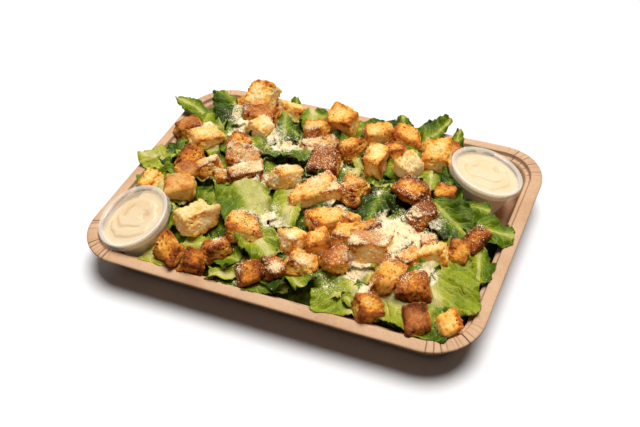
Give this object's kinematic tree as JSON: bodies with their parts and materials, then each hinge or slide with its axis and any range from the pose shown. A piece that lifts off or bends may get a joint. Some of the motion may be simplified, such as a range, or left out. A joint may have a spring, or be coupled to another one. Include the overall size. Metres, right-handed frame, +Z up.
{
  "type": "caesar salad",
  "caption": "Caesar salad heaped in a rectangular kraft paperboard tray: chopped romaine, large croutons and grated cheese, with lidded clear cups of creamy dressing in two corners.",
  "frame": {"origin": "middle of the tray's underside, on the surface it stands on", "axes": "+X along the long side, +Y across the tray, +Z up"},
  "size_m": [0.3653, 0.2655, 0.0664],
  "materials": {
    "board": "matte",
    "cup_plastic": "clear",
    "lid_plastic": "clear",
    "dressing": "satin",
    "romaine": "wet leaf",
    "crouton": "toasted, matte"
  },
  "bodies": {
    "root": {"tray": "board", "cup_left": "cup_plastic", "cup_right": "cup_plastic", "lid_left": "lid_plastic", "lid_right": "lid_plastic", "dressing_left": "dressing", "dressing_right": "dressing", "salad": "romaine", "crouton_01": "crouton", "crouton_02": "crouton", "crouton_03": "crouton", "crouton_04": "crouton", "crouton_05": "crouton", "crouton_06": "crouton", "crouton_07": "crouton", "crouton_08": "crouton", "crouton_09": "crouton", "crouton_10": "crouton", "crouton_11": "crouton", "crouton_12": "crouton", "crouton_13": "crouton", "crouton_14": "crouton", "crouton_15": "crouton", "crouton_16": "crouton", "crouton_17": "crouton", "crouton_18": "crouton", "crouton_19": "crouton", "crouton_20": "crouton", "crouton_21": "crouton", "crouton_22": "crouton", "crouton_23": "crouton", "crouton_24": "crouton", "crouton_25": "crouton", "crouton_26": "crouton", "crouton_27": "crouton", "crouton_28": "crouton", "crouton_29": "crouton", "crouton_30": "crouton", "crouton_31": "crouton", "crouton_32": "crouton", "crouton_33": "crouton", "crouton_34": "crouton", "crouton_35": "crouton", "crouton_36": "crouton", "crouton_37": "crouton", "crouton_38": "crouton", "crouton_39": "crouton", "crouton_40": "crouton", "crouton_41": "crouton", "crouton_42": "crouton", "crouton_43": "crouton", "crouton_44": "crouton", "crouton_45": "crouton", "crouton_46": "crouton", "crouton_47": "crouton", "crouton_48": "crouton", "crouton_49": "crouton", "crouton_50": "crouton", "crouton_51": "crouton", "crouton_52": "crouton"}
  },
  "joints": []
}
